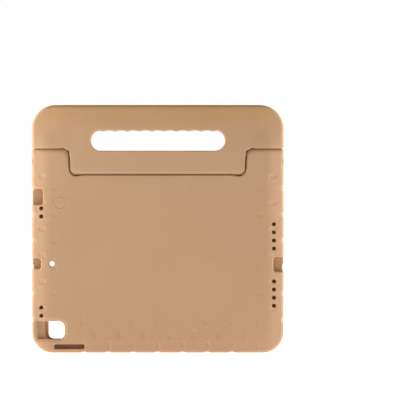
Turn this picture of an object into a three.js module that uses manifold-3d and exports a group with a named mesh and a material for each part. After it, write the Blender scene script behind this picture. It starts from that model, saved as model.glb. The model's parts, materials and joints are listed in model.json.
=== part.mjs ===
// A foam carry case for a 10.2 inch tablet, with a carry handle that turns on two hidden pivots.
// Millimetres. X is the width, Y the thickness (the back faces -Y, the screen window +Y), Z is up.
// The origin is on the surface that the case stands on, under the middle of the case.

import * as THREE from "three";
import { mergeVertices } from "three/addons/utils/BufferGeometryUtils.js";
import Module from "manifold-3d";

const wasm = await Module();
wasm.setup();

// Overall size
const WIDTH = 280;
const HEIGHT = 275;
const THICKNESS = 24;
const FACE = THICKNESS / 2;
const EDGE_ROUND = 8;
const PAD_HEIGHT = 0.8;
const CUT_MARGIN = 2; // how far a cutter runs past the skin that it opens

// Outline corners
const TOP_CORNER_RADIUS = 26.5;
const BOTTOM_CORNER_RADIUS = 23;

// Hinge and the split between the case and the handle
const HINGE_HEIGHT = 212.5;
const SPLIT_RADIUS = 18.2;
const SPLIT_GAP = 1;
const SPLIT_SIDE = 97.8;
const POST_CORNER_RADIUS = 6;
const TONGUE_CORNER_RADIUS = 5;
const GROOVE_SIZE = 3;

// Tablet pocket and screen window
const TABLET_WIDTH = 250.6;
const TABLET_HEIGHT = 174.1;
const TABLET_CENTRE_HEIGHT = 98.7;
const POCKET_PLAY = 0.5;
const POCKET_CORNER_RADIUS = 11;
const POCKET_FLOOR = -4;
const POCKET_CEILING = 4;
const WINDOW_OVERLAP = 3.3; // how far the front lip covers the tablet's edge
const WINDOW_CORNER_RADIUS = 6;
const WINDOW_BEVEL = 3;

// Finger slot of the handle
const SLOT_LENGTH = 150;
const SLOT_HEIGHT = 23.2;
const SLOT_CENTRE_HEIGHT = 235.7;
const SLOT_BEVEL = 4;
const SCALLOP_COUNT = 9;
const SCALLOP_PITCH = 13.7;
const SCALLOP_DEPTH = 1.8;

// Ports in the side walls: which side they are on, their middle height, height and depth
const HEADPHONE_PORT = { side: -1, height: 173, length: 17.8, depth: 13 };
const MICROPHONE_PORT = { side: -1, height: 98.7, length: 12, depth: 10.7 };
const CHARGE_PORT = { side: 1, height: 97.9, length: 17, depth: 11.8 };
const PORT_CORNER_RADIUS = 3;

// Rows of sound holes beside the tablet's speakers: side, height of the lowest hole, how many
const SOUND_HOLE_RADIUS = 2.2;
const SOUND_HOLE_PITCH = 9;
const SOUND_HOLE_INSET = 11.2;
const SOUND_ROWS = [
  { side: -1, height: 151.4, count: 2 },
  { side: -1, height: 41.3, count: 2 },
  { side: 1, height: 115.8, count: 4 },
  { side: 1, height: 52.4, count: 4 },
];
const SOUND_CHANNEL_DEPTH = 2;

// Openings in the back and the bottom edge
const CAMERA_LEFT = -133.7;
const CAMERA_RIGHT = -103;
const CAMERA_BOTTOM = 15.2;
const CAMERA_TOP = 35;
const CAMERA_OUTER_RADIUS = 2.5;
const CAMERA_INNER_RADIUS = 7;
const CAMERA_BEVEL = 1.5;
const MIC_HOLE_RADIUS = 3;
const MIC_HOLE_INSET = 22.8;
const MIC_HOLE_BEVEL = 1.3;
const VOLUME_MIDDLE = -98;
const VOLUME_LENGTH = 34;
const VOLUME_BOTTOM = 4.4;
const VOLUME_TOP = 9.6;

// Raised pads along the bottom and the sides
const BOTTOM_PAD_PITCH = 27.4;
const BOTTOM_PAD_LENGTH = 21.4;
const SIDE_PAD_PITCH = 29.2;
const SIDE_PAD_LENGTH = 23.6;
const SIDE_PAD_FIRST = 50.9;
const SIDE_PAD_COUNT = 5;
const PAD_THICKNESS = 15;
const PAD_ROOT = 4;

// Hinge hardware
const FIT_GAP = 0.3;
const PIN_RADIUS = 3;
const PIN_INNER_END = 78;
const PIN_OUTER_END = 123;
const SLEEVE_RADIUS = 5.2;
const SLEEVE_LENGTH = 17;
const FLANGE_RADIUS = 8;
const FLANGE_THICKNESS = 1.6;
const WASHER_RADIUS = 11;
const WASHER_PLAY = 0.1;
const PLUG_RADIUS = 6;
const PLUG_RECESS = 0.4;

const ROUND_SEGMENTS = 24;
const HINGE_SEGMENTS = 40;
const CORNER_STEPS = 6;

// ---------- solids ----------

function toSolid(geometry) {
  geometry.deleteAttribute("normal");
  geometry.deleteAttribute("uv");
  const merged = mergeVertices(geometry, 1e-4);
  return new wasm.Manifold(
    new wasm.Mesh({
      numProp: 3,
      vertProperties: merged.attributes.position.array,
      triVerts: Uint32Array.from(merged.index.array),
    }),
  );
}

function toMesh(name, solid, material) {
  const { vertProperties, triVerts } = solid.getMesh();
  const geometry = new THREE.BufferGeometry();
  geometry.setAttribute("position", new THREE.BufferAttribute(vertProperties, 3));
  geometry.setIndex(new THREE.BufferAttribute(triVerts, 1));
  geometry.computeVertexNormals();
  const mesh = new THREE.Mesh(geometry, material);
  mesh.name = name;
  return mesh;
}

// A shape drawn in X and Z, made solid from one depth to another, with rounded rims if asked.
function slab(shape, yLow, yHigh, round = 0) {
  const geometry = new THREE.ExtrudeGeometry(shape, {
    depth: yHigh - yLow - 2 * round,
    curveSegments: 4,
    bevelEnabled: round > 0,
    bevelThickness: round,
    bevelSize: round,
    bevelOffset: -round,
    bevelSegments: 3,
  });
  geometry.rotateX(Math.PI / 2);
  geometry.translate(0, yHigh - round, 0);
  return toSolid(geometry);
}

// A cutter that bevels the rim of a shape where it meets a face of the case.
function rimBevel(shape, face, size) {
  const waist = 0.1;
  const geometry = new THREE.ExtrudeGeometry(shape, {
    depth: waist,
    curveSegments: 4,
    bevelThickness: size,
    bevelSize: size,
    bevelSegments: 1,
  });
  geometry.rotateX(Math.PI / 2);
  geometry.translate(0, face + waist / 2, 0);
  return toSolid(geometry);
}

function block(xLow, xHigh, yLow, yHigh, zLow, zHigh) {
  const geometry = new THREE.BoxGeometry(xHigh - xLow, yHigh - yLow, zHigh - zLow);
  geometry.translate((xLow + xHigh) / 2, (yLow + yHigh) / 2, (zLow + zHigh) / 2);
  return toSolid(geometry);
}

// A round hole or rod along the thickness.
function rodThrough(x, z, radius, yLow, yHigh) {
  const geometry = new THREE.CylinderGeometry(radius, radius, yHigh - yLow, ROUND_SEGMENTS / 2);
  geometry.translate(x, (yLow + yHigh) / 2, z);
  return toSolid(geometry);
}

// A profile of (distance from the hinge line, X) turned round the hinge line.
function turned(profile, side, segments) {
  const points = profile.map(([radius, x]) => new THREE.Vector2(radius, x));
  const geometry = new THREE.LatheGeometry(points, segments);
  geometry.rotateZ(-Math.PI / 2);
  if (side < 0) geometry.rotateZ(Math.PI);
  geometry.translate(0, 0, HINGE_HEIGHT);
  return toSolid(geometry);
}

function roundedRectangle(left, right, bottom, top, leftRadius, rightRadius = leftRadius) {
  const shape = new THREE.Shape();
  shape.moveTo(left + leftRadius, bottom);
  shape.lineTo(right - rightRadius, bottom);
  shape.absarc(right - rightRadius, bottom + rightRadius, rightRadius, -Math.PI / 2, 0);
  shape.absarc(right - rightRadius, top - rightRadius, rightRadius, 0, Math.PI / 2);
  shape.absarc(left + leftRadius, top - leftRadius, leftRadius, Math.PI / 2, Math.PI);
  shape.absarc(left + leftRadius, bottom + leftRadius, leftRadius, Math.PI, 1.5 * Math.PI);
  return shape;
}

// ---------- the split between the case and the handle ----------

// A round end about the hinge line, from its inner face out to the case's side, or from the
// middle of the case out to the tongue's side. `grow` makes the hollow that it turns in.
function postEnd(side, grow = 0) {
  const radius = SPLIT_RADIUS - SPLIT_GAP / 2 + grow;
  const face = SPLIT_SIDE + SPLIT_GAP / 2 - grow;
  const corner = POST_CORNER_RADIUS + grow;
  const profile = [[0, face]];
  for (let i = 0; i <= 6; i++) {
    const angle = (i / 6) * (Math.PI / 2);
    profile.push([
      radius - corner + corner * Math.sin(angle),
      face + corner - corner * Math.cos(angle),
    ]);
  }
  profile.push([radius, WIDTH / 2 + CUT_MARGIN], [0, WIDTH / 2 + CUT_MARGIN]);
  return turned(profile, side, HINGE_SEGMENTS);
}

function tongueEnd(side, grow = 0) {
  const radius = SPLIT_RADIUS - SPLIT_GAP / 2 + grow;
  const face = SPLIT_SIDE - SPLIT_GAP / 2 + grow;
  const corner = TONGUE_CORNER_RADIUS + grow;
  const overlapAtMiddle = 1;
  const profile = [[0, -overlapAtMiddle], [radius, -overlapAtMiddle]];
  for (let i = 0; i <= 5; i++) {
    const angle = (i / 5) * (Math.PI / 2);
    profile.push([
      radius - corner + corner * Math.cos(angle),
      face - corner + corner * Math.sin(angle),
    ]);
  }
  profile.push([0, face]);
  return turned(profile, side, HINGE_SEGMENTS);
}

// Where the split comes out on a face: up one side of the tongue, from its flat underside
// round the tongue's corner and the post's corner to the flat top of the post.
function splitCorner(side, face) {
  const rise = (radius) => Math.sqrt(radius ** 2 - FACE ** 2);
  const points = [];
  for (let i = 0; i <= CORNER_STEPS; i++) {
    const angle = (i / CORNER_STEPS) * (Math.PI / 2);
    const radius = SPLIT_RADIUS - TONGUE_CORNER_RADIUS * (1 - Math.cos(angle));
    const x = SPLIT_SIDE - TONGUE_CORNER_RADIUS * (1 - Math.sin(angle));
    points.push(new THREE.Vector3(side * x, face, HINGE_HEIGHT - rise(radius)));
  }
  for (let i = 0; i <= CORNER_STEPS; i++) {
    const angle = (i / CORNER_STEPS) * (Math.PI / 2);
    const radius = SPLIT_RADIUS - POST_CORNER_RADIUS * (1 - Math.sin(angle));
    const x = SPLIT_SIDE + POST_CORNER_RADIUS * (1 - Math.cos(angle));
    points.push(new THREE.Vector3(side * x, face, HINGE_HEIGHT + rise(radius)));
  }
  return points;
}

// The bevelled groove that both parts share where the split comes out on a face.
function splitGroove(face) {
  const diamond = new THREE.Shape();
  diamond.moveTo(GROOVE_SIZE, 0);
  diamond.lineTo(0, GROOVE_SIZE);
  diamond.lineTo(-GROOVE_SIZE, 0);
  diamond.lineTo(0, -GROOVE_SIZE);
  const cutAlong = (extrudePath, steps) =>
    toSolid(new THREE.ExtrudeGeometry(diamond, { steps, extrudePath }));
  const underside = HINGE_HEIGHT - Math.sqrt(SPLIT_RADIUS ** 2 - FACE ** 2);
  const reach = SPLIT_SIDE - TONGUE_CORNER_RADIUS;
  let groove = cutAlong(
    new THREE.LineCurve3(
      new THREE.Vector3(-reach, face, underside),
      new THREE.Vector3(reach, face, underside),
    ),
    1,
  );
  for (const side of [-1, 1]) {
    const points = splitCorner(side, face);
    const last = points[points.length - 1];
    const edge = new THREE.Vector3(side * (WIDTH / 2 + CUT_MARGIN), face, last.z);
    groove = groove
      .add(cutAlong(new THREE.CatmullRomCurve3(points), 3 * CORNER_STEPS))
      .add(cutAlong(new THREE.LineCurve3(last, edge), 1));
  }
  return groove;
}

const grooves = splitGroove(-FACE).add(splitGroove(FACE));

// ---------- case body ----------

// One of the ports: an open notch in the side wall, with a window on into the pocket.
function sidePort({ side, height, length, depth }) {
  const outer = WIDTH / 2 + CUT_MARGIN;
  const inner = WIDTH / 2 - depth;
  const low = height - length / 2;
  const high = height + length / 2;
  const radius = PORT_CORNER_RADIUS;
  const notch = roundedRectangle(inner, outer + radius, low, high, radius);
  const solid = slab(notch, -FACE - CUT_MARGIN, POCKET_CEILING);
  const reach = TABLET_WIDTH / 2 - 1;
  const through = block(reach, outer, POCKET_FLOOR, POCKET_CEILING, low, high);
  const port = solid.add(through);
  return side > 0 ? port : port.mirror([1, 0, 0]);
}

// A row of sound holes in the back, and the channel behind them that leads to the speaker.
function soundRow({ side, height, count }) {
  const x = side * (WIDTH / 2 - SOUND_HOLE_INSET);
  let row = null;
  for (let i = 0; i < count; i++) {
    const z = height + i * SOUND_HOLE_PITCH;
    const hole = rodThrough(x, z, SOUND_HOLE_RADIUS, -FACE - CUT_MARGIN, SOUND_CHANNEL_DEPTH);
    row = row ? row.add(hole) : hole;
  }
  const inner = TABLET_WIDTH / 2 - 1;
  const outer = Math.abs(x) + SOUND_HOLE_RADIUS;
  const low = height - SOUND_HOLE_RADIUS;
  const high = height + (count - 1) * SOUND_HOLE_PITCH + SOUND_HOLE_RADIUS;
  const channel = block(
    side > 0 ? inner : -outer,
    side > 0 ? outer : -inner,
    -SOUND_CHANNEL_DEPTH,
    SOUND_CHANNEL_DEPTH,
    low,
    high,
  );
  return row.add(channel);
}

function cameraOpening() {
  const shape = roundedRectangle(
    CAMERA_LEFT,
    CAMERA_RIGHT,
    CAMERA_BOTTOM,
    CAMERA_TOP,
    CAMERA_OUTER_RADIUS,
    CAMERA_INNER_RADIUS,
  );
  const through = slab(shape, -FACE - CUT_MARGIN, POCKET_FLOOR + 1);
  return through.add(rimBevel(shape, -FACE, CAMERA_BEVEL));
}

function microphoneHole() {
  const x = -WIDTH / 2 + MIC_HOLE_INSET;
  const z = TABLET_CENTRE_HEIGHT;
  const hole = rodThrough(x, z, MIC_HOLE_RADIUS, -FACE - CUT_MARGIN, POCKET_FLOOR + 1);
  const shape = new THREE.Shape().absarc(x, z, MIC_HOLE_RADIUS, 0, 2 * Math.PI);
  return hole.add(rimBevel(shape, -FACE, MIC_HOLE_BEVEL));
}

// The slot over the volume keys: in from the back at the bottom edge, then up into the pocket.
function volumeSlot() {
  const left = VOLUME_MIDDLE - VOLUME_LENGTH / 2;
  const right = VOLUME_MIDDLE + VOLUME_LENGTH / 2;
  const shape = roundedRectangle(left, right, VOLUME_BOTTOM, VOLUME_TOP, 2.4);
  const slot = slab(shape, -FACE - CUT_MARGIN, POCKET_CEILING);
  const pocketBottom = TABLET_CENTRE_HEIGHT - TABLET_HEIGHT / 2;
  const rise = block(
    left + 2,
    right - 2,
    POCKET_FLOOR,
    POCKET_CEILING,
    VOLUME_TOP - 1,
    pocketBottom + 1,
  );
  return slot.add(rise);
}

function tabletPocket() {
  const halfWidth = TABLET_WIDTH / 2 + POCKET_PLAY;
  const halfHeight = TABLET_HEIGHT / 2 + POCKET_PLAY;
  const pocket = roundedRectangle(
    -halfWidth,
    halfWidth,
    TABLET_CENTRE_HEIGHT - halfHeight,
    TABLET_CENTRE_HEIGHT + halfHeight,
    POCKET_CORNER_RADIUS,
  );
  const windowHalfWidth = TABLET_WIDTH / 2 - WINDOW_OVERLAP;
  const windowHalfHeight = TABLET_HEIGHT / 2 - WINDOW_OVERLAP;
  const window = roundedRectangle(
    -windowHalfWidth,
    windowHalfWidth,
    TABLET_CENTRE_HEIGHT - windowHalfHeight,
    TABLET_CENTRE_HEIGHT + windowHalfHeight,
    WINDOW_CORNER_RADIUS,
  );
  return slab(pocket, POCKET_FLOOR, POCKET_CEILING)
    .add(slab(window, POCKET_CEILING - 1, FACE + CUT_MARGIN))
    .add(rimBevel(window, FACE, WINDOW_BEVEL));
}

// The pads that give the bottom and the sides their grip, flat where the case stands on them.
function edgePads() {
  const half = PAD_THICKNESS / 2;
  const skin = WIDTH / 2 - PAD_HEIGHT - PAD_ROOT;
  let pads = null;
  const keep = (pad) => {
    pads = pads ? pads.add(pad) : pad;
  };
  for (let i = -4; i < 4; i++) {
    const x = (i + 0.5) * BOTTOM_PAD_PITCH;
    const reach = BOTTOM_PAD_LENGTH / 2;
    keep(block(x - reach, x + reach, -half, half, 0, PAD_HEIGHT + PAD_ROOT));
  }
  for (let i = 0; i < SIDE_PAD_COUNT; i++) {
    const z = SIDE_PAD_FIRST + i * SIDE_PAD_PITCH;
    const reach = SIDE_PAD_LENGTH / 2;
    keep(block(skin, WIDTH / 2, -half, half, z - reach, z + reach));
    keep(block(-WIDTH / 2, -skin, -half, half, z - reach, z + reach));
  }
  return pads;
}

// The bores for the hinge hardware in the case's posts, drilled from the sides.
function postBores(side) {
  const inner = SPLIT_SIDE + SPLIT_GAP / 2;
  const flangeSeat = inner + FLANGE_THICKNESS + FIT_GAP;
  const sleeveEnd = flangeSeat + SLEEVE_LENGTH + FIT_GAP;
  return turned(
    [
      [0, inner - SPLIT_GAP],
      [FLANGE_RADIUS + FIT_GAP, inner - SPLIT_GAP],
      [FLANGE_RADIUS + FIT_GAP, flangeSeat],
      [SLEEVE_RADIUS + FIT_GAP, flangeSeat],
      [SLEEVE_RADIUS + FIT_GAP, sleeveEnd],
      [PLUG_RADIUS + FIT_GAP, sleeveEnd],
      [PLUG_RADIUS + FIT_GAP, WIDTH / 2 + CUT_MARGIN],
      [0, WIDTH / 2 + CUT_MARGIN],
    ],
    side,
    ROUND_SEGMENTS,
  );
}

function tongueBores(side) {
  const outer = SPLIT_SIDE - SPLIT_GAP / 2;
  const flangeSeat = outer - FLANGE_THICKNESS - FIT_GAP;
  return turned(
    [
      [0, PIN_INNER_END - 1],
      [SLEEVE_RADIUS + FIT_GAP, PIN_INNER_END - 1],
      [SLEEVE_RADIUS + FIT_GAP, flangeSeat],
      [FLANGE_RADIUS + FIT_GAP, flangeSeat],
      [FLANGE_RADIUS + FIT_GAP, outer + SPLIT_GAP],
      [0, outer + SPLIT_GAP],
    ],
    side,
    ROUND_SEGMENTS,
  );
}

function caseBody() {
  const half = WIDTH / 2 - PAD_HEIGHT;
  const outline = roundedRectangle(
    -half,
    half,
    PAD_HEIGHT,
    HINGE_HEIGHT + SPLIT_RADIUS + TOP_CORNER_RADIUS,
    BOTTOM_CORNER_RADIUS,
  );
  const blank = slab(outline, -FACE, FACE, EDGE_ROUND);
  const below = block(-WIDTH, WIDTH, -WIDTH, WIDTH, -WIDTH, HINGE_HEIGHT);
  const ends = postEnd(1).add(postEnd(-1));
  let body = blank.intersect(below.add(ends));
  for (const side of [-1, 1]) {
    body = body.subtract(tongueEnd(side, SPLIT_GAP)).subtract(postBores(side));
  }
  body = body.subtract(grooves).add(edgePads());
  const cuts = [
    tabletPocket(),
    sidePort(HEADPHONE_PORT),
    sidePort(MICROPHONE_PORT),
    sidePort(CHARGE_PORT),
    cameraOpening(),
    microphoneHole(),
    volumeSlot(),
    ...SOUND_ROWS.map(soundRow),
  ];
  return cuts.reduce((solid, cut) => solid.subtract(cut), body);
}

// ---------- handle ----------

// The finger slot: round ends, and shallow finger grooves along its upper edge.
function fingerSlot() {
  const radius = SLOT_HEIGHT / 2;
  const straight = SLOT_LENGTH / 2 - radius;
  const top = SLOT_CENTRE_HEIGHT + radius - SCALLOP_DEPTH;
  const scallopRadius = SCALLOP_PITCH ** 2 / (8 * SCALLOP_DEPTH) + SCALLOP_DEPTH / 2;
  const halfAngle = Math.asin(SCALLOP_PITCH / 2 / scallopRadius);
  const shape = new THREE.Shape();
  shape.moveTo(-straight, SLOT_CENTRE_HEIGHT - radius);
  shape.absarc(straight, SLOT_CENTRE_HEIGHT, radius, -Math.PI / 2, 0.45 * Math.PI);
  for (let i = 0; i < SCALLOP_COUNT; i++) {
    const x = ((SCALLOP_COUNT - 1) / 2 - i) * SCALLOP_PITCH;
    const centre = top + SCALLOP_DEPTH - scallopRadius;
    shape.absarc(x, centre, scallopRadius, Math.PI / 2 - halfAngle, Math.PI / 2 + halfAngle);
  }
  shape.absarc(-straight, SLOT_CENTRE_HEIGHT, radius, 0.55 * Math.PI, 1.5 * Math.PI);
  return shape;
}

function handleBody() {
  const outline = roundedRectangle(
    -WIDTH / 2,
    WIDTH / 2,
    HINGE_HEIGHT - SPLIT_RADIUS - TOP_CORNER_RADIUS - EDGE_ROUND,
    HEIGHT,
    TOP_CORNER_RADIUS,
  );
  const blank = slab(outline, -FACE, FACE, EDGE_ROUND);
  const above = block(-WIDTH, WIDTH, -WIDTH, WIDTH, HINGE_HEIGHT, 2 * HEIGHT);
  const tongue = tongueEnd(1).add(tongueEnd(-1));
  let handle = blank.intersect(above.add(tongue));
  for (const side of [-1, 1]) {
    handle = handle.subtract(postEnd(side, SPLIT_GAP)).subtract(tongueBores(side));
  }
  const slot = fingerSlot();
  return handle
    .subtract(grooves)
    .subtract(slab(slot, -FACE - CUT_MARGIN, FACE + CUT_MARGIN))
    .subtract(rimBevel(slot, -FACE, SLOT_BEVEL))
    .subtract(rimBevel(slot, FACE, SLOT_BEVEL));
}

// ---------- hinge hardware ----------

function hingePin(side) {
  const tip = 0.6;
  return turned(
    [
      [0, PIN_INNER_END],
      [PIN_RADIUS - tip, PIN_INNER_END],
      [PIN_RADIUS, PIN_INNER_END + tip],
      [PIN_RADIUS, PIN_OUTER_END - tip],
      [PIN_RADIUS - tip, PIN_OUTER_END],
      [0, PIN_OUTER_END],
    ],
    side,
    ROUND_SEGMENTS,
  );
}

// A flanged sleeve, from its flange's outer face along the hinge line.
function flangedSleeve(flangeFace, direction, side) {
  const bore = PIN_RADIUS + FIT_GAP;
  const seat = flangeFace + direction * FLANGE_THICKNESS;
  const end = seat + direction * SLEEVE_LENGTH;
  const profile = [
    [bore, flangeFace],
    [FLANGE_RADIUS, flangeFace],
    [FLANGE_RADIUS, seat],
    [SLEEVE_RADIUS, seat],
    [SLEEVE_RADIUS, end],
    [bore, end],
    [bore, flangeFace],
  ];
  return turned(direction > 0 ? profile : profile.reverse(), side, ROUND_SEGMENTS);
}

function postSleeve(side) {
  return flangedSleeve(SPLIT_SIDE + SPLIT_GAP / 2, 1, side);
}

function handleSleeve(side) {
  return flangedSleeve(SPLIT_SIDE - SPLIT_GAP / 2, -1, side);
}

// A rubber washer in the gap between the handle's side and the post, which holds the handle still.
function frictionWasher(side) {
  const inner = PIN_RADIUS + FIT_GAP;
  const outerFace = SPLIT_SIDE + SPLIT_GAP / 2 - WASHER_PLAY;
  const innerFace = SPLIT_SIDE - SPLIT_GAP / 2 + WASHER_PLAY;
  return turned(
    [
      [inner, innerFace],
      [WASHER_RADIUS, innerFace],
      [WASHER_RADIUS, outerFace],
      [inner, outerFace],
      [inner, innerFace],
    ],
    side,
    ROUND_SEGMENTS,
  );
}

function pivotPlug(side) {
  const innerFace = PIN_OUTER_END + FIT_GAP;
  const outerFace = WIDTH / 2 - PAD_HEIGHT - PLUG_RECESS;
  const rim = 0.8;
  return turned(
    [
      [0, innerFace],
      [PLUG_RADIUS, innerFace],
      [PLUG_RADIUS, outerFace - rim],
      [PLUG_RADIUS - rim, outerFace],
      [0, outerFace],
    ],
    side,
    ROUND_SEGMENTS,
  );
}

// ---------- the assembly ----------

const foam = new THREE.MeshStandardMaterial({ color: 0xc29a75, roughness: 0.85, metalness: 0 });
const nylon = new THREE.MeshStandardMaterial({ color: 0xd9cdbb, roughness: 0.5, metalness: 0 });
const steel = new THREE.MeshStandardMaterial({ color: 0xb8bcc0, roughness: 0.3, metalness: 1 });
const rubber = new THREE.MeshStandardMaterial({ color: 0x2c2a28, roughness: 0.8, metalness: 0 });

const tabletCase = new THREE.Group();
tabletCase.add(toMesh("case_body", caseBody(), foam));
tabletCase.add(toMesh("handle", handleBody(), foam));
for (const [side, word] of [[-1, "left"], [1, "right"]]) {
  tabletCase.add(toMesh("hinge_pin_" + word, hingePin(side), steel));
  tabletCase.add(toMesh("post_sleeve_" + word, postSleeve(side), nylon));
  tabletCase.add(toMesh("handle_sleeve_" + word, handleSleeve(side), nylon));
  tabletCase.add(toMesh("friction_washer_" + word, frictionWasher(side), rubber));
  tabletCase.add(toMesh("pivot_plug_" + word, pivotPlug(side), foam));
}

export default tabletCase;
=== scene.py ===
"""Looks of a thick foam tablet case with a folding carry handle.

The two foam mouldings are worked out as distance fields, in millimetres, and turned into meshes.
The hinge hardware stays as the CAD made it, with finer materials.
X is the width, Y the thickness (the back faces -Y, the screen window +Y) and Z is up.
"""

import copy
import json
import math

import bpy
import numpy as np
import openvdb as vdb
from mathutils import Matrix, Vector


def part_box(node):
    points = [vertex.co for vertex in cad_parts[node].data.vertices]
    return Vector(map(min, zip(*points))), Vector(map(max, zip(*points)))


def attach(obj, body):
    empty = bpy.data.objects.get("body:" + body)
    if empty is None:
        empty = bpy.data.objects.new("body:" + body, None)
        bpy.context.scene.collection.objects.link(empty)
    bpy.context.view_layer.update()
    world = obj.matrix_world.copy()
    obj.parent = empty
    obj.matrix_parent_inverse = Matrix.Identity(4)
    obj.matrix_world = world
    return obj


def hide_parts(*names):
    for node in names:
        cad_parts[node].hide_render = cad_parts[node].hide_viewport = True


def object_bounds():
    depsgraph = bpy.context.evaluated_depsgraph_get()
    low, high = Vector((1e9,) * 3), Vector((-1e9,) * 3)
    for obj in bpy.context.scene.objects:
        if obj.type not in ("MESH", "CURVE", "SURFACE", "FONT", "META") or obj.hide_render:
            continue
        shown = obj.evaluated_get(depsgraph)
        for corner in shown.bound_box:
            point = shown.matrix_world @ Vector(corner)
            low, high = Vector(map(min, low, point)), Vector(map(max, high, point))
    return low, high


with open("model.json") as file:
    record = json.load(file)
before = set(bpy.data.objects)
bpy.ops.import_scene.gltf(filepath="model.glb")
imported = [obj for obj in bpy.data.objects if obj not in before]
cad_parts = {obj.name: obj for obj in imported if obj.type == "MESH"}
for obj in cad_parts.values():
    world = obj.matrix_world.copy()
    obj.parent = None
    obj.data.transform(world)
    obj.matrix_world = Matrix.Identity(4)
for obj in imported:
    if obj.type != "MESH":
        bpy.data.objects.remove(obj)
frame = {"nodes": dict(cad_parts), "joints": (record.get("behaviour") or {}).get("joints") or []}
cad_low, cad_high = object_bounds()

MM = 0.001

# Outer sizes, from the CAD
HINGE_HEIGHT = frame["joints"][0]["pos_m"][2] / MM
HALF_WIDTH = cad_high.x / MM
HEIGHT = cad_high.z / MM
FACE = cad_high.y / MM

# Outline and rims
PAD_HEIGHT = 0.8
TOP_CORNER_RADIUS = 26.5
BOTTOM_CORNER_RADIUS = 23
BACK_RIM_RADIUS = 3.6
FRONT_RIM_RADIUS = 6

# Slopes of the back and front faces towards the outline
STRIP_START = 123.2
STRIP_SLOPE = 0.4
STRIP_BEND = 2.6
HANDLE_STRIP_START = 118
HANDLE_BOW_START = 50
HANDLE_BOW = 0.0004
FOOT_START = 17
FOOT_SLOPE = 0.13
CROWN_START = 252
CROWN_SLOPE = 0.09
FRONT_SLOPE = 0.2
FRONT_SLOPE_WIDTH = 17

# The split between the case and the handle, turned round the hinge line
SPLIT_RISE = 13.6
POST_RISE = 12
SPLIT_SIDE = 97.8
SPLIT_GAP = 1.4
SPLIT_SIDE_GAP = 0.6
POST_CORNER_RADIUS = 7.5
TONGUE_CORNER_RADIUS = 6
SPLIT_ROUND = 1.8
SPLIT_CORNER_ROUND = 3.4
SPLIT_END_ROUND = 1.5
SPLIT_END_LIFT = 0.14

# Room for the folded handle: the angles trimmed for, the room left, how far from the hinge
# the trimming reaches, and how far outside the split it is centred
FOLD_STEPS = (70, 75, 80, 84, 88, 92)
FOLD_ROOM = 0.15
FOLD_REACH = 24
FOLD_OFFSET = 6

# Tablet pocket and screen window
TABLET_HALF = (125.3, 87.05)
TABLET_CENTRE = (0, 98.7)
POCKET_PLAY = 0.5
POCKET_CORNER_RADIUS = 11
POCKET_DEPTH = 4
WINDOW_OVERLAP = 3.3
WINDOW_CORNER_RADIUS = 6
LIP_WIDTH = 4.5
LIP_SLOPE = 0.4
LIP_ROUND = 1.6

# Handle: half the height of its outline, and where over the hinge its own strip takes over
HANDLE_HALF_HEIGHT = 120
HANDLE_STRIP_RISE = (14, 40)

# Finger slot of the handle
SLOT_CENTRE = (0, 235.7)
SLOT_HALF = (75, 11.6)
SLOT_BACK_ROUND = 1.4
SLOT_FRONT_ROUND = 4
SCALLOP_COUNT = 9
SCALLOP_PITCH = 13.7
SCALLOP_DEPTH = 1.4

# Ports: side, middle height, height and depth
HEADPHONE_PORT = (-1, 173, 17.8, 13)
MICROPHONE_PORT = (-1, 98.7, 12, 10.7)
CHARGE_PORT = (1, 97.9, 17, 11.8)
PORT_CORNER_RADIUS = 3

# Sound holes: side, height of the lowest hole, how many
SOUND_ROWS = [(-1, 151.4, 2), (-1, 41.3, 2), (1, 115.8, 4), (1, 52.4, 4)]
SOUND_RADIUS = 2.2
SOUND_PITCH = 9
SOUND_INSET = 11.2
SOUND_HOLE_FLOOR = 3
SOUND_CHANNEL_DEPTH = 0.8

# Openings in the back
CAMERA_X = (-133.7, -103)
CAMERA_Z = (15.2, 35)
CAMERA_OUTER_RADIUS = 2.5
CAMERA_INNER_RADIUS = 7
CAMERA_FLARE = 4.2
CAMERA_FLARE_DEPTH = 1.5
MIC_X = -117.2
MIC_RADIUS = 3
VOLUME_X = (-115, -81)
VOLUME_Z = (4.4, 9.6)
VOLUME_RADIUS = 2.4

# Raised pads along the edges, and the shallow dimples between them on the faces
BOTTOM_PITCH = 27.4
SIDE_PITCH = 29.2
SIDE_FIRST_GAP = 36.3
GAP_HALF = 2.9
DIMPLE_HALF = 2.7
DIMPLE_DEPTH = 0.75
SIDE_GAP_FOOT = 28
SIDE_GAP_TOP = 190

# Upright dimples along the bottom: lower end, upper end, shift and depth
BACK_FOOT_ROWS = [
    (-6, 13, 0, DIMPLE_DEPTH),
    (16, 26, 12.2, 0.8 * DIMPLE_DEPTH),
    (32, 40, -1.2, 0.5 * DIMPLE_DEPTH),
]

# Level dimples up the sides: inner and outer end, height shift, depth and top
BACK_SIDE_ROWS = [
    (110.5, 118, 0, 0.4 * DIMPLE_DEPTH, SIDE_GAP_TOP),
    (123.5, 132, 13.2, 0.7 * DIMPLE_DEPTH, 202),
    (134, 146, 0, 0.5 * DIMPLE_DEPTH, SIDE_GAP_TOP),
]
FRONT_SIDE_ROWS = [(131, 146, 0, 0.8 * DIMPLE_DEPTH, SIDE_GAP_TOP)]

# Moulded ring on the back
RING_CENTRE = (-108, 167.4)
RING_RADIUS = 6.5

# Bores of the hinge hardware: distances from the middle, and radii
SLEEVE_BORE = 5.5
FLANGE_BORE = 8.3
WASHER_RECESS = 11.3
PLUG_BORE = 6.15
PLUG_RADIUS = 6
PLUG_START = 123.3
PLUG_HEAD_START = 134
PLUG_HEAD_BORE = 4.65
PLUG_HEAD_RADIUS = 4.4
PLUG_ROUND = 0.35
BORE_STEPS = [
    (77, 95.4, SLEEVE_BORE),
    (95.4, 100.2, FLANGE_BORE),
    (97.1, 98.5, WASHER_RECESS),
    (100.2, 117.5, SLEEVE_BORE),
    (117.5, PLUG_HEAD_START, PLUG_BORE),
    (117.5, 142, PLUG_HEAD_BORE),
]

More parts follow.
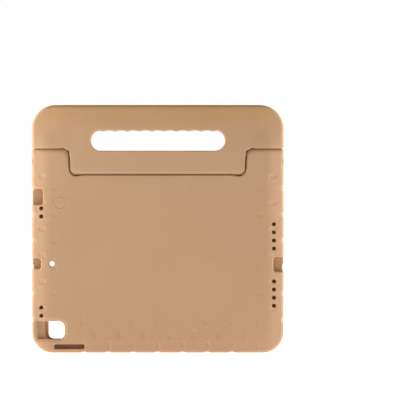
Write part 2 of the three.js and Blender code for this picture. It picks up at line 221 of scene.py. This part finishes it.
# Warmer foam towards the top of the handle, with painted shade darkening its top edge: from and to
# a height, and the tint
CROWN_TINTS_AND_SHADE = [(244, 264, (1.01, 0.965, 0.84)), (268, 275, (0.98, 0.88, 0.76))]

# Grids of the distance fields, the width of the band kept round a surface in grid steps,
# and the number of faces that a mesh is thinned to
GRID_STEP = (0.66, 0.75, 0.66)
FINE_GRID_STEP = (0.3, 0.3, 0.3)
GRID_MARGIN = (2.5, 1.5, 1.5)
BAND = 3
FACE_BUDGET = 190_000

# Foam colours, the darker and the lighter of the mottling
CASE_FOAM = ((0.508, 0.310, 0.178), (0.528, 0.324, 0.187))
PLUG_FOAM = ((0.47, 0.282, 0.156), (0.505, 0.306, 0.171))

# Floor, lights and view, in metres, with the sensor's width in millimetres
FLOOR_RADIUS = 9
FLOOR_CORNERS = 48
FLOOR_GLOW = 0.90
SKY_LIGHT = 0.14
SIDE_LIGHT_PLACE = (1.1, 0.08, 0.25)
SIDE_LIGHT_SIZE = (1.0, 1.2)
LEFT_LIGHT_POWER = 26.5
RIGHT_LIGHT_POWER = 21
HANDLE_LIGHT_PLACE = (-0.17, -0.15, 0.262)
HANDLE_LIGHT_AIM = (-0.108, -0.012, 0.238)
HANDLE_LIGHT_SIZE = (0.09, 0.09)
HANDLE_LIGHT_POWER = 0.035
VIEW_WIDTH = 443.7 * MM
VIEW_CENTRE = Vector((47.0 * MM, -8 * MM, 169.5 * MM))
VIEW_DISTANCE = 2.0
SENSOR_WIDTH = 36


# ---------- distance fields ----------


def meet(a, b, radius):
    """What two solids share, with a rounding along the edge where they meet."""
    outside = np.hypot(np.maximum(a + radius, 0), np.maximum(b + radius, 0))
    return np.minimum(np.maximum(a, b), -radius) + outside


def cut(a, b, radius=None):
    """Solid a with solid b taken out of it, and the new edge rounded if asked."""
    return np.maximum(a, -b) if radius is None else meet(a, -b, radius)


def soft_max(a, b, reach):
    """The larger of two heights, blended where they are within reach of each other."""
    blend = np.maximum(reach - np.abs(a - b), 0) / reach
    return np.maximum(a, b) + blend**2 * reach / 4


def ramp(value, low, high):
    """0 below low, 1 above high, and smooth between them."""
    t = np.clip((value - low) / (high - low), 0, 1)
    return t * t * (3 - 2 * t)


def rounded_box(u, v, centre, half, radius):
    du = np.abs(u - centre[0]) - half[0] + radius
    dv = np.abs(v - centre[1]) - half[1] + radius
    outside = np.hypot(np.maximum(du, 0), np.maximum(dv, 0))
    return outside + np.minimum(np.maximum(du, dv), 0) - radius


def capsule(u, v, centre, half_length, radius):
    """A bar with round ends along u."""
    along = np.maximum(np.abs(u - centre[0]) - half_length, 0)
    return np.hypot(along, v - centre[1]) - radius


class Space:
    """Evenly spaced sample points over a box, with the fields that both mouldings share."""

    def __init__(self, low, high, step):
        self.low = np.array(low, float)
        self.step = np.array(step, float)
        counts = np.ceil((np.array(high, float) - self.low) / self.step).astype(int) + 1
        x, y, z = (
            (self.low[i] + self.step[i] * np.arange(counts[i])).astype(np.float32)
            for i in range(3)
        )
        self.x = x[:, None, None]
        self.y = y[None, :, None]
        self.z = z[None, None, :]
        self.measure()

    def measure(self):
        self.side = np.abs(self.x)
        self.turn = np.hypot(self.y, self.z - HINGE_HEIGHT)
        self.strip = soft_max(0, (self.side - STRIP_START) * STRIP_SLOPE, STRIP_BEND)
        rounder = (SPLIT_CORNER_ROUND - SPLIT_ROUND) * ramp(self.side, 82, 90)
        tighter = (SPLIT_CORNER_ROUND - SPLIT_END_ROUND) * ramp(self.side, 103, 110)
        self.split_round = SPLIT_ROUND + rounder - tighter

    def folded(self, columns, rows, degrees):
        """The points in those columns and rows, turned about the hinge line."""
        near = copy.copy(self)
        near.x = self.x[columns]
        rise = self.z[:, :, rows] - HINGE_HEIGHT
        turn = math.radians(degrees)
        near.y = self.y * math.cos(turn) + rise * math.sin(turn)
        near.z = rise * math.cos(turn) - self.y * math.sin(turn) + HINGE_HEIGHT
        near.measure()
        return near

    def post(self, grown=0):
        """The round end of the case's posts, or when grown the hollow that it turns in.
        It thins with the strips at the sides, so that the split stays level on the back."""
        radius = np.hypot(POST_RISE + self.strip * SPLIT_END_LIFT, FACE - self.strip)
        return meet(
            self.turn - radius + SPLIT_GAP * (0.5 - grown),
            SPLIT_SIDE - self.side + SPLIT_SIDE_GAP * (0.5 - grown),
            POST_CORNER_RADIUS + SPLIT_GAP * grown,
        )

    def tongue(self, grown=0):
        """The round lower edge of the handle, or when grown the hollow in the case."""
        return meet(
            self.turn - math.hypot(SPLIT_RISE, FACE) + SPLIT_GAP * (0.5 - grown),
            self.side - SPLIT_SIDE + SPLIT_SIDE_GAP * (0.5 - grown),
            TONGUE_CORNER_RADIUS + SPLIT_GAP * grown,
        )

    def bores(self):
        steps = [
            np.maximum(self.turn - radius, np.maximum(near - self.side, self.side - far))
            for near, far, radius in BORE_STEPS
        ]
        return np.minimum.reduce(steps)

    def hole(self, shape, y_low, y_high):
        """A shape drawn in X and Z, from one depth to another."""
        return np.maximum(shape, np.maximum(y_low - self.y, self.y - y_high))

    def block(self, x_range, y_range, z_range):
        sides = [
            np.maximum(low - axis, axis - high)
            for axis, (low, high) in ((self.x, x_range), (self.y, y_range), (self.z, z_range))
        ]
        return np.maximum(np.maximum(sides[0], sides[1]), sides[2])


def faces(space, outline, back_drop, front_drop):
    """A solid with that outline, whose faces lie in from the flat by the drops."""
    back = -space.y - FACE + back_drop
    front = space.y - FACE + front_drop
    rimmed = meet(outline, back, BACK_RIM_RADIUS)
    return meet(rimmed, front, FRONT_RIM_RADIUS)


def gaps(along, first, pitch):
    """1 inside the gaps between raised pads, 0 on the pads."""
    offset = np.abs((along - first + pitch / 2) % pitch - pitch / 2)
    return 1 - ramp(offset, GAP_HALF - 0.7, GAP_HALF + 0.7)


def dimples(distance, depth):
    return depth * (1 - ramp(distance, -1.1, 0.5))


def window_outline(space):
    half = [size - WINDOW_OVERLAP for size in TABLET_HALF]
    return rounded_box(space.x, space.z, TABLET_CENTRE, half, WINDOW_CORNER_RADIUS)


def side_rows(space, columns):
    """Rows of level dimples up both sides."""
    drop = 0.0
    for inner, outer, shift, depth, top in columns:
        phase = space.z - SIDE_FIRST_GAP - shift
        level = (phase + SIDE_PITCH / 2) % SIDE_PITCH - SIDE_PITCH / 2
        half_length = (outer - inner) / 2 - DIMPLE_HALF
        middle = ((outer + inner) / 2, 0)
        row = dimples(capsule(space.side, level, middle, half_length, DIMPLE_HALF), depth)
        drop = drop + row * (1 - ramp(space.z, top, top + 2))
    return drop


def bottom_rows(space, rows):
    """Rows of upright dimples along the bottom."""
    drop = 0.0
    for low, high, shift, depth in rows:
        across = (space.x - shift + BOTTOM_PITCH / 2) % BOTTOM_PITCH - BOTTOM_PITCH / 2
        half_length = (high - low) / 2 - DIMPLE_HALF
        middle = ((high + low) / 2, 0)
        drop = drop + dimples(capsule(space.z, across, middle, half_length, DIMPLE_HALF), depth)
    return drop


# ---------- the case body ----------


def camera_outline(space):
    """The camera opening, with tighter corners towards the case's side."""
    centre = (sum(CAMERA_X) / 2, sum(CAMERA_Z) / 2)
    half = ((CAMERA_X[1] - CAMERA_X[0]) / 2, (CAMERA_Z[1] - CAMERA_Z[0]) / 2)
    outer = rounded_box(space.x, space.z, centre, half, CAMERA_OUTER_RADIUS)
    inner = rounded_box(space.x, space.z, centre, half, CAMERA_INNER_RADIUS)
    return np.where(space.x < centre[0], outer, inner)


def case_back_drop(space):
    foot = soft_max(0, (FOOT_START - space.z) * FOOT_SLOPE, 0.8)
    ring = np.hypot(space.x - RING_CENTRE[0], space.z - RING_CENTRE[1]) - RING_RADIUS
    groove = 0.6 * np.exp(-((ring / 0.62) ** 2))
    flare = CAMERA_FLARE_DEPTH * (1 - ramp(camera_outline(space), 0, CAMERA_FLARE))
    clear_of_corner = ramp(space.x, -96, -92) * ramp(-space.x, -116, -112)
    rows = bottom_rows(space, BACK_FOOT_ROWS) * clear_of_corner
    columns = side_rows(space, BACK_SIDE_ROWS) * ramp(space.z, 40, 44)
    return space.strip + foot + groove + flare + rows + columns


def case_front_drop(space):
    """A chamfered lip round the window, and beyond its ridge a slope towards the rim."""
    away = window_outline(space)
    lip = np.clip(LIP_WIDTH - away, 0, LIP_WIDTH + 3) * LIP_SLOPE
    beyond = np.minimum(away - LIP_WIDTH - 1.5, FRONT_SLOPE_WIDTH)
    slope = soft_max(0, beyond * FRONT_SLOPE, 0.8)
    below_split = 1 - ramp(space.z, HINGE_HEIGHT - 30, HINGE_HEIGHT - 16)
    at_side = ramp(space.side, 116, 132)
    columns = side_rows(space, FRONT_SIDE_ROWS)
    return lip + slope * np.maximum(below_split, at_side) + columns


def port(space, side, height, length, depth):
    """A notch in the side wall, open to the back, and the window on into the pocket."""
    half = (depth / 2 + PORT_CORNER_RADIUS, length / 2)
    middle = (HALF_WIDTH - depth + half[0], height)
    notch = rounded_box(side * space.x, space.z, middle, half, PORT_CORNER_RADIUS)
    open_notch = space.hole(notch, -2 * FACE, POCKET_DEPTH)
    reach = (TABLET_HALF[0] - 1, HALF_WIDTH + 2)
    x_range = reach if side > 0 else (-reach[1], -reach[0])
    z_range = (height - length / 2, height + length / 2)
    through = space.block(x_range, (-POCKET_DEPTH, POCKET_DEPTH), z_range)
    return np.minimum(open_notch, through)


def sound_row(space, side, height, count):
    x = side * (HALF_WIDTH - SOUND_INSET)
    top = height + (count - 1) * SOUND_PITCH
    which = np.clip(np.round((space.z - height) / SOUND_PITCH), 0, count - 1)
    nearest = height + SOUND_PITCH * which
    holes = np.hypot(space.x - x, space.z - nearest) - SOUND_RADIUS
    reach = (TABLET_HALF[0] - 1, abs(x) + SOUND_RADIUS)
    x_range = reach if side > 0 else (-reach[1], -reach[0])
    channel = space.block(
        x_range,
        (-SOUND_CHANNEL_DEPTH, SOUND_CHANNEL_DEPTH),
        (height - SOUND_RADIUS, top + SOUND_RADIUS),
    )
    return space.hole(holes, -2 * FACE, SOUND_HOLE_FLOOR), channel


def case_skin(space):
    """The case's outer shape, with no split and no openings."""
    side_gaps = gaps(space.z, SIDE_FIRST_GAP, SIDE_PITCH) * ramp(
        space.z, SIDE_GAP_FOOT, SIDE_GAP_FOOT + 2
    )
    side_gaps = side_gaps * (1 - ramp(space.z, SIDE_GAP_TOP, SIDE_GAP_TOP + 2))
    foot_gaps = gaps(space.x, 0, BOTTOM_PITCH) * ramp(-space.side, -105, -103)
    centre, half = (0, HEIGHT), (HALF_WIDTH, HEIGHT)
    skin = rounded_box(space.x, space.z, centre, half, BOTTOM_CORNER_RADIUS)
    outline = skin + PAD_HEIGHT * np.maximum(
        side_gaps * ramp(space.side, HALF_WIDTH - 12, HALF_WIDTH - 8),
        foot_gaps * ramp(-space.z, -12, -8),
    )
    return faces(space, outline, case_back_drop(space), case_front_drop(space))


def case_shape(space):
    """The case's outer shape with the split, and no openings."""
    split = cut(np.minimum(space.z - HINGE_HEIGHT, space.post()), space.tongue(grown=1))
    return meet(case_skin(space), split, space.split_round)


def case_field(space):
    body = cut(case_shape(space), space.bores(), PLUG_ROUND)

    pocket_half = [size + POCKET_PLAY for size in TABLET_HALF]
    pocket = rounded_box(space.x, space.z, TABLET_CENTRE, pocket_half, POCKET_CORNER_RADIUS)
    body = cut(body, space.hole(window_outline(space), POCKET_DEPTH - 3, 2 * FACE), LIP_ROUND)
    body = cut(body, space.hole(pocket, -POCKET_DEPTH, POCKET_DEPTH))

    for place in (HEADPHONE_PORT, MICROPHONE_PORT, CHARGE_PORT):
        body = cut(body, port(space, *place), 0.9)
    for row in SOUND_ROWS:
        holes, channel = sound_row(space, *row)
        body = cut(cut(body, holes, 0.3), channel)

    body = cut(body, space.hole(camera_outline(space), -2 * FACE, 1 - POCKET_DEPTH), 0.9)
    mic = np.hypot(space.x - MIC_X, space.z - TABLET_CENTRE[1]) - MIC_RADIUS
    body = cut(body, space.hole(mic, -2 * FACE, 1 - POCKET_DEPTH), 1.3)
    volume_half = ((VOLUME_X[1] - VOLUME_X[0]) / 2, (VOLUME_Z[1] - VOLUME_Z[0]) / 2)
    volume = rounded_box(
        space.x, space.z, (sum(VOLUME_X) / 2, sum(VOLUME_Z) / 2), volume_half, VOLUME_RADIUS
    )
    body = cut(body, space.hole(volume, -2 * FACE, POCKET_DEPTH), 0.8)
    rise = space.block(
        (VOLUME_X[0] + 2, VOLUME_X[1] - 2),
        (-POCKET_DEPTH, POCKET_DEPTH),
        (VOLUME_Z[1] - 1, TABLET_CENTRE[1] - TABLET_HALF[1] + 1),
    )
    return cut(body, rise)


def plug_field(space):
    """The foam plug of a bore, with a narrower head flush with the case's outer shape."""
    bar = np.maximum(space.turn - PLUG_RADIUS, space.side - PLUG_HEAD_START + 0.2)
    both = np.minimum(bar, space.turn - PLUG_HEAD_RADIUS)
    whole = meet(both, PLUG_START - space.side, PLUG_ROUND)
    return meet(case_skin(space), whole, PLUG_ROUND)


# ---------- the handle ----------


def finger_slot(space):
    """A long hole with round ends and shallow finger grooves along its upper edge."""
    centre, half = SLOT_CENTRE, SLOT_HALF
    bar = rounded_box(space.x, space.z, centre, half, half[1])
    phase = (space.x + SCALLOP_PITCH / 2) % SCALLOP_PITCH / SCALLOP_PITCH
    arch = np.sin(np.pi * phase)
    grooved = 1 - ramp(space.side, SCALLOP_PITCH * SCALLOP_COUNT / 2, half[0] - 4)
    lowered = SCALLOP_DEPTH * (1 - arch) * grooved
    ceiling = space.z - centre[1] - half[1] + lowered
    return meet(bar, ceiling, 0.6)


def leave_fold_room(body, space):
    """Trims the handle's corners beside the posts, where they would touch the case when folded."""
    rows = np.flatnonzero(np.abs(space.z.ravel() - HINGE_HEIGHT) < FOLD_REACH)
    rows = slice(rows[0], rows[-1] + 1)
    for side in (-1, 1):
        beside = np.abs(space.x.ravel() * side - SPLIT_SIDE - FOLD_OFFSET)
        columns = np.flatnonzero(beside < FOLD_REACH / 2)
        columns = slice(columns[0], columns[-1] + 1)
        for degrees in FOLD_STEPS:
            for turned in (degrees, -degrees):
                case = case_shape(space.folded(columns, rows, turned))
                near = body[columns, :, rows]
                body[columns, :, rows] = cut(near, case - FOLD_ROOM)


def handle_field(space):
    middle, half = (0, HEIGHT - HANDLE_HALF_HEIGHT), (HALF_WIDTH, HANDLE_HALF_HEIGHT)
    outline = rounded_box(space.x, space.z, middle, half, TOP_CORNER_RADIUS)
    bow_width = HANDLE_STRIP_START - HANDLE_BOW_START
    bow = HANDLE_BOW * np.clip(space.side - HANDLE_BOW_START, 0, bow_width) ** 2
    strip = bow + soft_max(0, (space.side - HANDLE_STRIP_START) * STRIP_SLOPE * 0.6, 3)
    low, high = (HINGE_HEIGHT + rise for rise in HANDLE_STRIP_RISE)
    near_split = 1 - ramp(space.z, low, high)
    crown = soft_max(0, (space.z - CROWN_START) * CROWN_SLOPE, 1)
    side_drop = strip + (space.strip - strip) * near_split
    front_side = soft_max(0, (space.side - STRIP_START) * FRONT_SLOPE, 0.8)
    body = faces(space, outline, side_drop + crown, front_side + 1.6 * crown)

    split = cut(np.minimum(HINGE_HEIGHT - space.z, space.tongue()), space.post(grown=1))
    body = meet(body, split, space.split_round)
    leave_fold_room(body, space)
    body = cut(body, space.bores())
    slot_round = SLOT_BACK_ROUND + (SLOT_FRONT_ROUND - SLOT_BACK_ROUND) * ramp(space.y, -5, 5)
    return cut(body, space.hole(finger_slot(space), -2 * FACE, 2 * FACE), slot_round)


# ---------- meshes ----------


def sample(field, points):
    """The field's value at points given in grid steps, from the eight samples round each."""
    top = np.array(field.shape) - 1.001
    points = np.clip(points, 0, top)
    cell = points.astype(int)
    part = points - cell
    total = 0.0
    for corner in range(8):
        shift = np.array([corner & 1, corner >> 1 & 1, corner >> 2 & 1])
        weight = np.prod(np.where(shift, part, 1 - part), axis=1)
        at = cell + shift
        total = total + weight * field[at[:, 0], at[:, 1], at[:, 2]]
    return total


def slopes(field, points, step):
    """Unit directions in which the field grows, at points given in grid steps."""
    parts = []
    for axis in range(3):
        move = np.zeros(3)
        move[axis] = 0.6
        rise = sample(field, points + move) - sample(field, points - move)
        parts.append(rise / step[axis])
    direction = np.stack(parts, axis=1)
    return direction / np.maximum(np.linalg.norm(direction, axis=1), 1e-9)[:, None]


def skin_of(name, field, space):
    """A mesh of the surface where the field is zero, thinned to the face budget."""
    thickness = BAND * float(space.step.min())
    grid = vdb.FloatGrid(thickness)
    grid.copyFromArray(np.clip(field, -thickness, thickness).astype(np.float32))
    grid.gridClass = vdb.GridClass.LEVEL_SET
    points, _, quads = grid.convertToPolygons(isovalue=0.0, adaptivity=0.0)
    mesh = bpy.data.meshes.new(name)
    mesh.vertices.add(len(points))
    places = (points * space.step + space.low) * MM
    mesh.vertices.foreach_set("co", places.astype(np.float32).ravel())
    mesh.loops.add(4 * len(quads))
    mesh.loops.foreach_set("vertex_index", quads[:, ::-1].ravel().astype(np.int32))
    mesh.polygons.add(len(quads))
    mesh.polygons.foreach_set("loop_start", np.arange(0, 4 * len(quads), 4, dtype=np.int32))
    mesh.update(calc_edges=True)

    piece = bpy.data.objects.new(name, mesh)
    bpy.context.scene.collection.objects.link(piece)
    thin = piece.modifiers.new("thin", "DECIMATE")
    thin.ratio = min(1.0, FACE_BUDGET / (2 * len(quads)))
    graph = bpy.context.evaluated_depsgraph_get()
    thinned = bpy.data.meshes.new_from_object(piece.evaluated_get(graph))
    piece.modifiers.clear()
    piece.data = thinned
    bpy.data.meshes.remove(mesh)
    thinned.name = name
    thinned.shade_smooth()

    places = np.empty(3 * len(thinned.vertices), np.float32)
    thinned.vertices.foreach_get("co", places)
    steps = (places.reshape(-1, 3) / MM - space.low) / space.step
    thinned.normals_split_custom_set_from_vertices(slopes(field, steps, space.step))
    return piece


def foam_moulding(name, node, body, field_of, material, grid_step=GRID_STEP):
    low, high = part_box(node)
    margin = Vector(GRID_MARGIN)
    step = grid_step
    space = Space(low / MM - margin, high / MM + margin, step)
    piece = skin_of(name, field_of(space), space)
    piece.data.materials.append(material)
    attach(piece, body)
    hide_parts(node)
    return piece


# ---------- materials ----------


class Nodes:
    """Short names for the shader nodes that the materials share."""

    def __init__(self, name, roughness, metallic=0.0):
        self.material = bpy.data.materials.new(name)
        self.material.use_nodes = True
        self.tree = self.material.node_tree
        self.shader = self.tree.nodes["Principled BSDF"]
        self.shader.inputs["Roughness"].default_value = roughness
        self.shader.inputs["Metallic"].default_value = metallic
        self.place = self.tree.nodes.new("ShaderNodeTexCoord").outputs["Object"]

    def link(self, output, target):
        self.tree.links.new(output, target)

    def noise(self, scale, detail=3, stretch=None):
        place = self.place
        if stretch:
            mapping = self.tree.nodes.new("ShaderNodeMapping")
            mapping.inputs["Scale"].default_value = stretch
            self.link(place, mapping.inputs["Vector"])
            place = mapping.outputs["Vector"]
        node = self.tree.nodes.new("ShaderNodeTexNoise")
        node.inputs["Scale"].default_value = scale
        node.inputs["Detail"].default_value = detail
        self.link(place, node.inputs["Vector"])
        return node.outputs["Fac"]

    def cells(self, scale):
        node = self.tree.nodes.new("ShaderNodeTexVoronoi")
        node.inputs["Scale"].default_value = scale
        self.link(self.place, node.inputs["Vector"])
        return node.outputs["Distance"]

    def between(self, factor, low, high, spread=(0.3, 0.7)):
        """Two colours, mixed by a factor."""
        node = self.tree.nodes.new("ShaderNodeValToRGB")
        node.color_ramp.elements[0].position = spread[0]
        node.color_ramp.elements[1].position = spread[1]
        node.color_ramp.elements[0].color = (*low, 1)
        node.color_ramp.elements[1].color = (*high, 1)
        self.link(factor, node.inputs["Fac"])
        return node.outputs["Color"]

    def shade(self, colour, amount, factor):
        """The colour times a second one that varies round white by the amount."""
        return self.times(colour, self.between(factor, (1 - amount,) * 3, (1 + amount,) * 3))

    def height(self, low, high):
        """0 below one height and 1 above another, in metres."""
        parts = self.tree.nodes.new("ShaderNodeSeparateXYZ")
        self.link(self.place, parts.inputs["Vector"])
        node = self.tree.nodes.new("ShaderNodeMapRange")
        node.interpolation_type = "SMOOTHSTEP"
        node.inputs["From Min"].default_value = low
        node.inputs["From Max"].default_value = high
        self.link(parts.outputs["Z"], node.inputs["Value"])
        return node.outputs["Result"]

    def times(self, colour, tint):
        node = self.tree.nodes.new("ShaderNodeMix")
        node.data_type = "RGBA"
        node.blend_type = "MULTIPLY"
        node.inputs["Factor"].default_value = 1
        self.link(colour, node.inputs["A"])
        self.link(tint, node.inputs["B"])
        return node.outputs["Result"]

    def colour(self, output):
        self.link(output, self.shader.inputs["Base Color"])

    def rough(self, factor, low, high):
        node = self.tree.nodes.new("ShaderNodeMapRange")
        node.inputs["To Min"].default_value = low
        node.inputs["To Max"].default_value = high
        self.link(factor, node.inputs["Value"])
        self.link(node.outputs["Result"], self.shader.inputs["Roughness"])

    def bump(self, height, depth, strength=1.0, under=None):
        node = self.tree.nodes.new("ShaderNodeBump")
        node.inputs["Strength"].default_value = strength
        node.inputs["Distance"].default_value = depth
        self.link(height, node.inputs["Height"])
        if under:
            self.link(under, node.inputs["Normal"])
        return node.outputs["Normal"]

    def relief(self, normal):
        self.link(normal, self.shader.inputs["Normal"])


def foam(name, low, high):
    """Moulded closed-cell foam: matte, faintly mottled, with a fine pebbled skin, warmer towards
    the top of the handle and with painted shade on its top edge.
    """
    nodes = Nodes(name, 0.72)
    mottled = nodes.between(nodes.noise(14, 2), low, high)
    clouded = nodes.shade(mottled, 0.012, nodes.noise(240, 4))
    speckled = nodes.shade(clouded, 0.03, nodes.noise(2200, 2))
    # Warmer foam and painted shade towards the top of the handle, darkest on its top edge
    for low_mm, high_mm, tint in CROWN_TINTS_AND_SHADE:
        crown_tint_and_shade = nodes.height(low_mm * MM, high_mm * MM)
        speckled = nodes.times(speckled, nodes.between(crown_tint_and_shade, (1, 1, 1), tint, (0, 1)))
    nodes.colour(speckled)
    nodes.rough(nodes.noise(420, 4), 0.62, 0.82)
    pebbles = nodes.bump(nodes.cells(1300), 0.00006, 0.5)
    ripples = nodes.bump(nodes.noise(120, 3), 0.0002, 0.25, pebbles)
    nodes.relief(nodes.bump(nodes.noise(3000, 2), 0.00004, 0.4, ripples))
    nodes.shader.inputs["Specular IOR Level"].default_value = 0.1
    nodes.shader.inputs["Sheen Weight"].default_value = 0.08
    nodes.shader.inputs["Sheen Tint"].default_value = (0.85, 0.52, 0.3, 1)
    nodes.shader.inputs["Sheen Roughness"].default_value = 0.55
    return nodes.material


def steel():
    """Drawn rod, with fine marks along its length and a little wear."""
    nodes = Nodes("pin_steel", 0.3, metallic=1.0)
    lines = nodes.noise(900, 2, stretch=(0.05, 1, 1))
    stains = nodes.noise(260, 4)
    base = nodes.between(lines, (0.50, 0.50, 0.52), (0.66, 0.66, 0.68))
    nodes.colour(nodes.shade(base, 0.12, stains))
    nodes.rough(stains, 0.22, 0.45)
    nodes.relief(nodes.bump(lines, 0.00002, 0.5))
    return nodes.material


def nylon():
    """Natural nylon, with a satin moulded skin and faint flow marks."""
    nodes = Nodes("nylon", 0.5)
    flow = nodes.noise(140, 3, stretch=(0.3, 1, 1))
    base = nodes.between(flow, (0.64, 0.56, 0.44), (0.74, 0.66, 0.54))
    nodes.colour(nodes.shade(base, 0.04, nodes.noise(1500, 2)))
    nodes.rough(nodes.noise(700, 3), 0.4, 0.6)
    nodes.relief(nodes.bump(nodes.noise(1800, 2), 0.00003, 0.4))
    nodes.shader.inputs["Subsurface Weight"].default_value = 0.15
    nodes.shader.inputs["Subsurface Scale"].default_value = 0.001
    return nodes.material


def rubber():
    """Brown rubber, dull, with dust in its grain and scuffs."""
    nodes = Nodes("washer_rubber", 0.8)
    dust = nodes.noise(500, 4)
    base = nodes.between(dust, (0.150, 0.078, 0.042), (0.190, 0.102, 0.058))
    nodes.colour(nodes.shade(base, 0.2, nodes.noise(2500, 2)))
    nodes.rough(dust, 0.7, 0.92)
    nodes.relief(nodes.bump(nodes.cells(2200), 0.00005, 0.5))
    return nodes.material


def backdrop():
    """Pale paper, bright enough to read as a plain white ground."""
    nodes = Nodes("pale_floor", 0.9)
    nodes.colour(nodes.between(nodes.noise(3, 2), (0.90, 0.90, 0.90), (0.92, 0.92, 0.92)))
    nodes.shader.inputs["Emission Color"].default_value = (1, 1, 1, 1)
    nodes.shader.inputs["Emission Strength"].default_value = FLOOR_GLOW
    nodes.shader.inputs["Specular IOR Level"].default_value = 0
    return nodes.material


case_foam = foam("foam", *CASE_FOAM)
foam_moulding("foam_case", "case_body", "case", case_field, case_foam)
foam_moulding("foam_handle", "handle", "carry_handle", handle_field, case_foam)

plug_foam = foam("plug_foam", *PLUG_FOAM)
for end in ("left", "right"):
    foam_moulding(
        f"foam_plug_{end}",
        f"pivot_plug_{end}",
        "case",
        plug_field,
        plug_foam,
        grid_step=FINE_GRID_STEP,
    )

finishes = {
    "hinge_pin": steel(),
    "post_sleeve": nylon(),
    "friction_washer": rubber(),
}
finishes["handle_sleeve"] = finishes["post_sleeve"]
for node_name, node in frame["nodes"].items():
    finish = finishes.get(node_name.rsplit("_", 1)[0])
    if finish:
        node.material_slots[0].material = finish


# ---------- floor, light and camera ----------


def floor():
    mesh = bpy.data.meshes.new("floor")
    turns = [2 * math.pi * i / FLOOR_CORNERS for i in range(FLOOR_CORNERS)]
    corners = [(FLOOR_RADIUS * math.cos(t), FLOOR_RADIUS * math.sin(t), 0) for t in turns]
    mesh.from_pydata(corners, [], [list(range(FLOOR_CORNERS))])
    ground = bpy.data.objects.new("floor", mesh)
    bpy.context.scene.collection.objects.link(ground)
    mesh.materials.append(backdrop())


def softbox(name, place, aim, size, power):
    data = bpy.data.lights.new(name, "AREA")
    data.shape = "RECTANGLE"
    data.size, data.size_y = size
    data.energy = power
    lamp = bpy.data.objects.new(name, data)
    lamp.location = place
    lamp.rotation_euler = (Vector(aim) - Vector(place)).to_track_quat("-Z", "Y").to_euler()
    lamp.visible_camera = False
    bpy.context.scene.collection.objects.link(lamp)


def sky():
    """White to the camera, and a dimmer even light on everything else."""
    world = bpy.data.worlds.new("studio")
    world.use_nodes = True
    tree = world.node_tree
    path = tree.nodes.new("ShaderNodeLightPath")
    level = tree.nodes.new("ShaderNodeMapRange")
    level.inputs["To Min"].default_value = SKY_LIGHT
    level.inputs["To Max"].default_value = 1.0
    ground = tree.nodes["Background"]
    ground.inputs["Color"].default_value = (1, 1, 1, 1)
    tree.links.new(path.outputs["Is Camera Ray"], level.inputs["Value"])
    tree.links.new(level.outputs["Result"], ground.inputs["Strength"])
    bpy.context.scene.world = world


middle = (cad_low + cad_high) / 2
side, depth, height = SIDE_LIGHT_PLACE
floor()
sky()
softbox("side_light_left", (-side, depth, height), middle, SIDE_LIGHT_SIZE, LEFT_LIGHT_POWER)
softbox("side_light_right", SIDE_LIGHT_PLACE, middle, SIDE_LIGHT_SIZE, RIGHT_LIGHT_POWER)
softbox(
    "handle_light", HANDLE_LIGHT_PLACE, HANDLE_LIGHT_AIM, HANDLE_LIGHT_SIZE, HANDLE_LIGHT_POWER
)

camera_data = bpy.data.cameras.new("camera")
camera_data.sensor_width = SENSOR_WIDTH
camera_data.lens = SENSOR_WIDTH * VIEW_DISTANCE / VIEW_WIDTH
camera = bpy.data.objects.new("camera", camera_data)
camera.location = VIEW_CENTRE - Vector((0, VIEW_DISTANCE, 0))
camera.rotation_euler = (math.pi / 2, 0, 0)
bpy.context.scene.collection.objects.link(camera)
bpy.context.scene.camera = camera
bpy.context.scene.view_settings.view_transform = "Standard"
